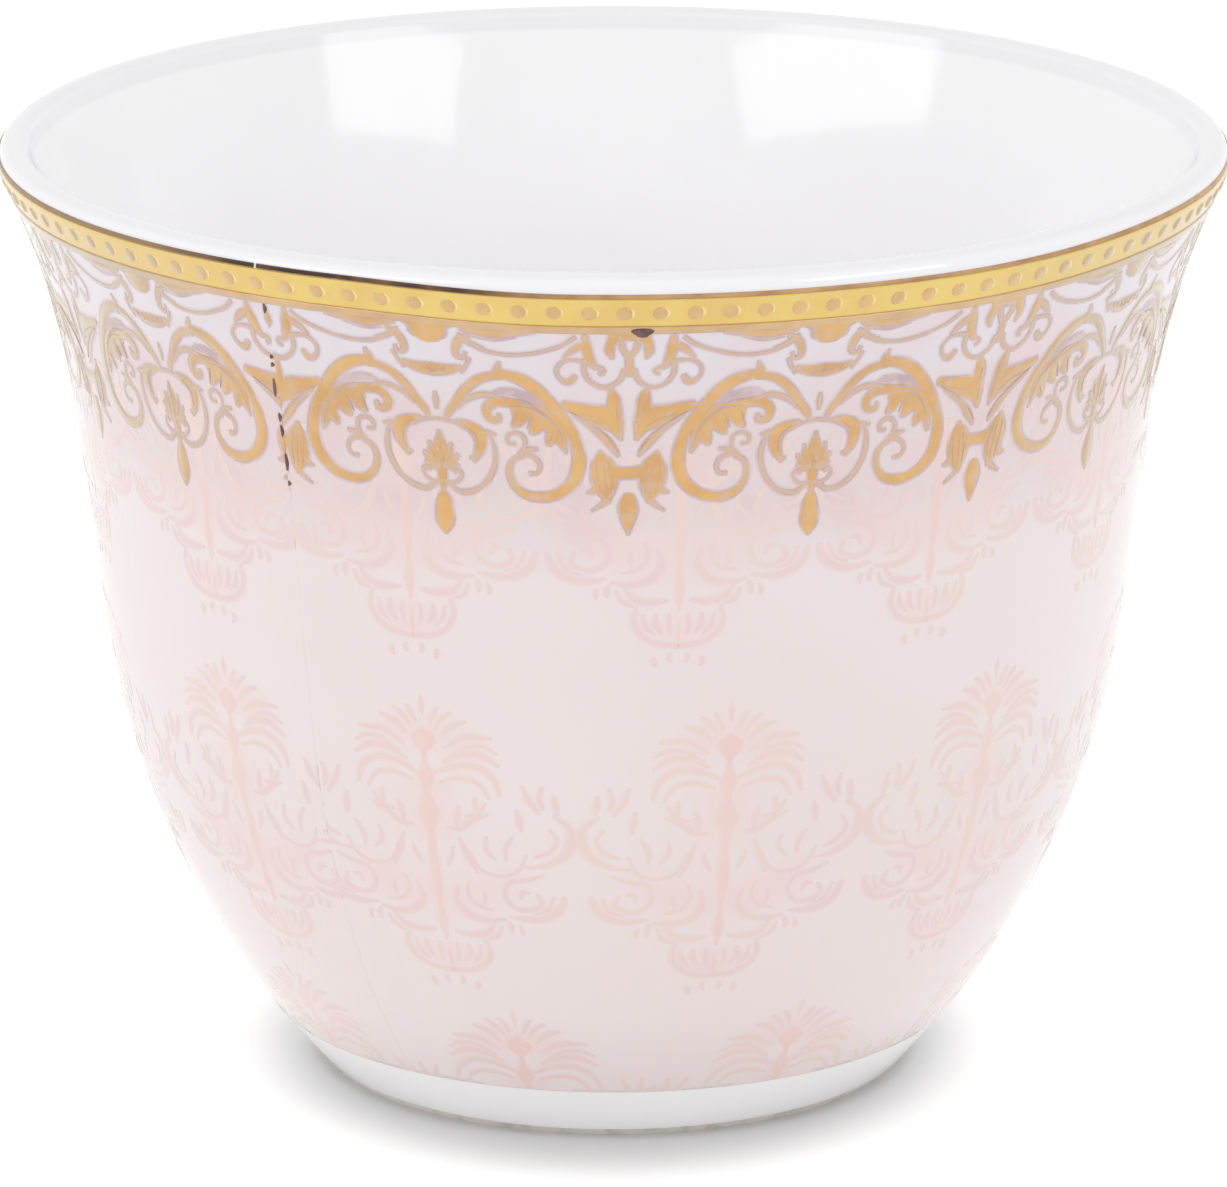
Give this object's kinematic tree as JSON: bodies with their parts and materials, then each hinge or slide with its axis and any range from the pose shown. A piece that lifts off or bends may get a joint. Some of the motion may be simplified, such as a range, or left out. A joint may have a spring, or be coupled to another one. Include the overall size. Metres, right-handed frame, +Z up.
{
  "type": "arabic coffee cup",
  "caption": "Small handleless porcelain coffee cup with a flared lip, a bare foot ring, a printed pink sleeve, a yellow bead band and a fired gold scroll border.",
  "frame": {"origin": "middle of the ring that the cup stands on", "axes": "+Z up along the cup's axis, -Y towards the viewer"},
  "size_m": [0.0702, 0.0702, 0.0546],
  "materials": {
    "bisque": "bare fired porcelain, matte",
    "glaze": "clear gloss glaze over white porcelain",
    "pink_print": "pale pink printed sleeve with a damask pattern, gloss",
    "yellow_enamel": "yellow overglaze enamel, gloss",
    "gold": "fired gold, satin"
  },
  "bodies": {
    "root": {"cup_body": "bisque", "glaze_coat": "glaze", "base_glaze": "glaze", "pink_sleeve": "pink_print", "enamel_band": "yellow_enamel", "rim_line": "gold", "band_line": "gold", "gold_beads": "gold", "gold_festoons": "gold", "gold_scrolls": "gold", "gold_medallions": "gold", "medallion_drops": "gold", "gold_clusters": "gold", "cluster_drops": "gold"}
  },
  "joints": []
}
